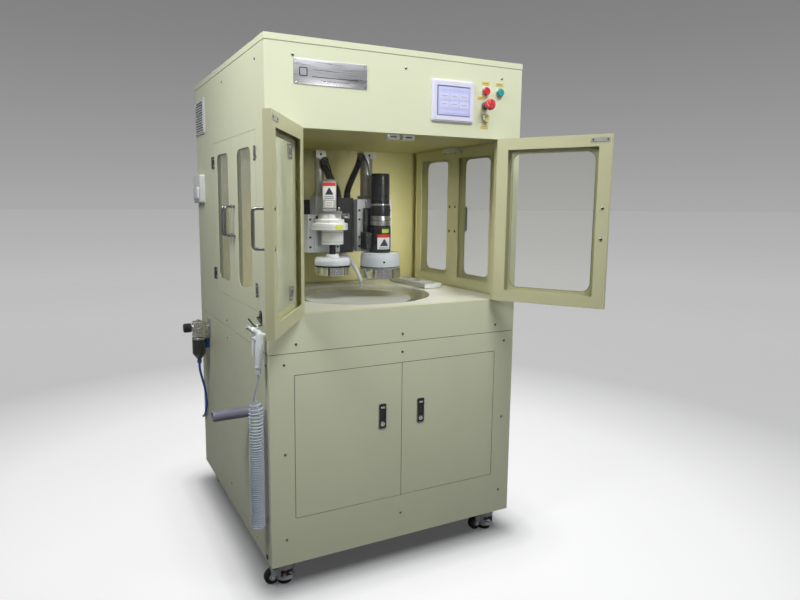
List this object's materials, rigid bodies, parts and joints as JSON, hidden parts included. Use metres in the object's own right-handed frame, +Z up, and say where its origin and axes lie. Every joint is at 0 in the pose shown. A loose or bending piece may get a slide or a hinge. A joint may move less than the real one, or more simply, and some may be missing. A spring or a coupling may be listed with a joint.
{
  "type": "wafer polishing machine",
  "caption": "Sheet-metal polishing cabinet on levelling casters: glazed doors, turntable with pad, lifting polishing and conditioning heads, touch panel and rinse gun on a coiled hose.",
  "frame": {"origin": "centre of the cabinet's footprint, on the floor", "axes": "+Z up, +X to the right of someone facing the machine, +Y from its front to its rear"},
  "size_m": [1.176, 1.3219, 1.7],
  "materials": {
    "cream_paint": "fine orange-peel powder coat, satin",
    "dark_steel": "black powder coat",
    "grey_paint": "light grey satin paint",
    "dark_metal": "dark satin metal",
    "bright_steel": "satin steel",
    "cast_metal": "die cast, satin",
    "turntable_alloy": "turned",
    "bezel_plastic": "fine texture",
    "grey_plastic": "fine texture",
    "white_plastic": "smooth satin",
    "black_plastic": "fine texture",
    "motor_black": "black anodised and painted",
    "drain_pvc": "semi-gloss PVC",
    "pad_felt": "porous polyurethane",
    "conduit_black": "corrugated",
    "red_plastic": "gloss",
    "green_plastic": "gloss",
    "ivory_plastic": "gloss",
    "clear_hose": "translucent, wet-look",
    "blue_tube": "semi-gloss",
    "clear_acrylic": "clear",
    "caster_grey": "die cast, painted grey",
    "black_rubber": "matte"
  },
  "bodies": {
    "cabinet": {"base_frame": "dark_steel", "lower_front_panel": "cream_paint", "upper_front_panel": "cream_paint", "lower_side_and_rear_panels": "cream_paint", "upper_side_walls": "cream_paint", "chamber_liner": "cream_paint", "top_cover": "cream_paint", "deck": "cream_paint", "touch_panel": "bezel_plastic", "cabinet_hardware": "bright_steel", "vent_grille": "grey_plastic", "service_box": "white_plastic", "drain_pipe": "drain_pvc", "air_regulator": "cast_metal", "loading_tray": "grey_paint", "platen_drive": "grey_paint", "head_mount": "dark_steel", "slide_units": "grey_paint", "cable_conduits": "conduit_black", "spray_gun": "white_plastic", "gun_hose": "clear_hose", "gun_hose_coil": "clear_hose", "air_tube": "blue_tube"},
    "front_left_door": {"front_left_door": "cream_paint", "front_left_window": "clear_acrylic"},
    "front_right_door": {"front_right_door": "cream_paint", "front_right_window": "clear_acrylic"},
    "left_front_door": {"left_front_door": "cream_paint", "left_front_window": "clear_acrylic"},
    "left_rear_door": {"left_rear_door": "cream_paint", "left_rear_window": "clear_acrylic"},
    "right_front_door": {"right_front_door": "cream_paint", "right_front_window": "clear_acrylic"},
    "right_rear_door": {"right_rear_door": "cream_paint", "right_rear_window": "clear_acrylic"},
    "lower_left_door": {"lower_left_door": "cream_paint"},
    "lower_right_door": {"lower_right_door": "cream_paint"},
    "left_lock_lever": {"left_lock_lever": "dark_metal"},
    "right_lock_lever": {"right_lock_lever": "dark_metal"},
    "turntable": {"platen": "turntable_alloy", "polishing_pad": "pad_felt"},
    "polish_drive": {"polish_drive": "motor_black"},
    "polish_head": {"polish_head": "white_plastic"},
    "conditioner_drive": {"conditioner_drive": "white_plastic"},
    "conditioner_head": {"conditioner_head": "white_plastic"},
    "slurry_arm": {"slurry_arm": "grey_plastic"},
    "red_button": {"red_button": "red_plastic"},
    "green_button": {"green_button": "green_plastic"},
    "yellow_button": {"yellow_button": "ivory_plastic"},
    "emergency_stop": {"emergency_stop": "red_plastic"},
    "regulator_knob": {"regulator_knob": "black_plastic"},
    "gun_trigger": {"gun_trigger": "white_plastic"},
    "caster_swivel_front_left": {"caster_swivel_front_left": "caster_grey"},
    "caster_wheel_front_left": {"caster_wheel_front_left": "black_rubber"},
    "caster_swivel_front_right": {"caster_swivel_front_right": "caster_grey"},
    "caster_wheel_front_right": {"caster_wheel_front_right": "black_rubber"},
    "caster_swivel_rear_left": {"caster_swivel_rear_left": "caster_grey"},
    "caster_wheel_rear_left": {"caster_wheel_rear_left": "black_rubber"},
    "caster_swivel_rear_right": {"caster_swivel_rear_right": "caster_grey"},
    "caster_wheel_rear_right": {"caster_wheel_rear_right": "black_rubber"}
  },
  "joints": [
    {"name": "front_left_door_hinge", "type": "hinge", "parent": "cabinet", "child": "front_left_door", "pos_m": [-0.372, -0.479, 1.166], "axis": [0, 0, -1], "range_deg": [-122, 43]},
    {"name": "front_right_door_hinge", "type": "hinge", "parent": "cabinet", "child": "front_right_door", "pos_m": [0.372, -0.479, 1.166], "axis": [0, 0, 1], "range_deg": [-122, 43]},
    {"name": "left_front_door_hinge", "type": "hinge", "parent": "cabinet", "child": "left_front_door", "pos_m": [-0.464, -0.382, 1.166], "axis": [0, 0, 1], "range_deg": [0, 95]},
    {"name": "left_rear_door_hinge", "type": "hinge", "parent": "cabinet", "child": "left_rear_door", "pos_m": [-0.464, 0.182, 1.166], "axis": [0, 0, -1], "range_deg": [0, 95]},
    {"name": "right_front_door_hinge", "type": "hinge", "parent": "cabinet", "child": "right_front_door", "pos_m": [0.464, -0.382, 1.166], "axis": [0, 0, -1], "range_deg": [0, 95]},
    {"name": "right_rear_door_hinge", "type": "hinge", "parent": "cabinet", "child": "right_rear_door", "pos_m": [0.464, 0.182, 1.166], "axis": [0, 0, 1], "range_deg": [0, 95]},
    {"name": "lower_left_door_hinge", "type": "hinge", "parent": "cabinet", "child": "lower_left_door", "pos_m": [-0.373, -0.469, 0.468], "axis": [0, 0, -1], "range_deg": [0, 97]},
    {"name": "lower_right_door_hinge", "type": "hinge", "parent": "cabinet", "child": "lower_right_door", "pos_m": [0.373, -0.469, 0.468], "axis": [0, 0, 1], "range_deg": [0, 97]},
    {"name": "left_lock_lever_hinge", "type": "hinge", "parent": "lower_left_door", "child": "left_lock_lever", "pos_m": [-0.073, -0.474, 0.56], "axis": [-1, 0, 0], "range_deg": [0, 35]},
    {"name": "right_lock_lever_hinge", "type": "hinge", "parent": "lower_right_door", "child": "right_lock_lever", "pos_m": [0.073, -0.474, 0.56], "axis": [-1, 0, 0], "range_deg": [0, 35]},
    {"name": "turntable_spin", "type": "hinge", "parent": "cabinet", "child": "turntable", "pos_m": [0, -0.13, 0.86], "axis": [0, 0, 1], "continuous": true},
    {"name": "polish_lift", "type": "slide", "parent": "cabinet", "child": "polish_drive", "axis": [0, 0, -1], "range_m": [0, 0.071]},
    {"name": "polish_spin", "type": "hinge", "parent": "polish_drive", "child": "polish_head", "pos_m": [0.095, -0.125, 1], "axis": [0, 0, 1], "continuous": true},
    {"name": "conditioner_lift", "type": "slide", "parent": "cabinet", "child": "conditioner_drive", "axis": [0, 0, -1], "range_m": [0, 0.089]},
    {"name": "conditioner_spin", "type": "hinge", "parent": "conditioner_drive", "child": "conditioner_head", "pos_m": [-0.101, -0.125, 1], "axis": [0, 0, 1], "continuous": true},
    {"name": "slurry_arm_swivel", "type": "hinge", "parent": "cabinet", "child": "slurry_arm", "pos_m": [-0.016, -0.027, 1.02], "axis": [0, 0, 1], "range_deg": [-5, 5]},
    {"name": "red_button_press", "type": "slide", "parent": "cabinet", "child": "red_button", "axis": [0, 1, 0], "range_m": [0, 0.004], "stiffness_N_per_m": 500},
    {"name": "green_button_press", "type": "slide", "parent": "cabinet", "child": "green_button", "axis": [0, 1, 0], "range_m": [0, 0.004], "stiffness_N_per_m": 500},
    {"name": "yellow_button_press", "type": "slide", "parent": "cabinet", "child": "yellow_button", "axis": [0, 1, 0], "range_m": [0, 0.004], "stiffness_N_per_m": 500},
    {"name": "emergency_stop_press", "type": "slide", "parent": "cabinet", "child": "emergency_stop", "axis": [0, 1, 0], "range_m": [0, 0.005], "stiffness_N_per_m": 900},
    {"name": "regulator_knob_turn", "type": "hinge", "parent": "cabinet", "child": "regulator_knob", "pos_m": [-0.54, 0.325, 0.718], "axis": [1, 0, 0], "range_deg": [-540, 540]},
    {"name": "gun_trigger_squeeze", "type": "hinge", "parent": "cabinet", "child": "gun_trigger", "pos_m": [-0.5035, -0.46, 0.825], "axis": [0, 1, 0], "range_deg": [-5, 0], "stiffness_Nm_per_rad": 0.5},
    {"name": "caster_swivel_turn_front_left", "type": "hinge", "parent": "cabinet", "child": "caster_swivel_front_left", "pos_m": [-0.4, -0.415, 0.05], "axis": [0, 0, 1], "continuous": true},
    {"name": "caster_wheel_spin_front_left", "type": "hinge", "parent": "caster_swivel_front_left", "child": "caster_wheel_front_left", "pos_m": [-0.443, -0.415, 0.026], "axis": [0, 1, 0], "continuous": true},
    {"name": "caster_swivel_turn_front_right", "type": "hinge", "parent": "cabinet", "child": "caster_swivel_front_right", "pos_m": [0.4, -0.415, 0.05], "axis": [0, 0, 1], "continuous": true},
    {"name": "caster_wheel_spin_front_right", "type": "hinge", "parent": "caster_swivel_front_right", "child": "caster_wheel_front_right", "pos_m": [0.357, -0.415, 0.026], "axis": [0, 1, 0], "continuous": true},
    {"name": "caster_swivel_turn_rear_left", "type": "hinge", "parent": "cabinet", "child": "caster_swivel_rear_left", "pos_m": [-0.4, 0.415, 0.05], "axis": [0, 0, 1], "continuous": true},
    {"name": "caster_wheel_spin_rear_left", "type": "hinge", "parent": "caster_swivel_rear_left", "child": "caster_wheel_rear_left", "pos_m": [-0.357, 0.415, 0.026], "axis": [0, 1, 0], "continuous": true},
    {"name": "caster_swivel_turn_rear_right", "type": "hinge", "parent": "cabinet", "child": "caster_swivel_rear_right", "pos_m": [0.4, 0.415, 0.05], "axis": [0, 0, 1], "continuous": true},
    {"name": "caster_wheel_spin_rear_right", "type": "hinge", "parent": "caster_swivel_rear_right", "child": "caster_wheel_rear_right", "pos_m": [0.357, 0.415, 0.026], "axis": [0, 1, 0], "continuous": true}
  ]
}
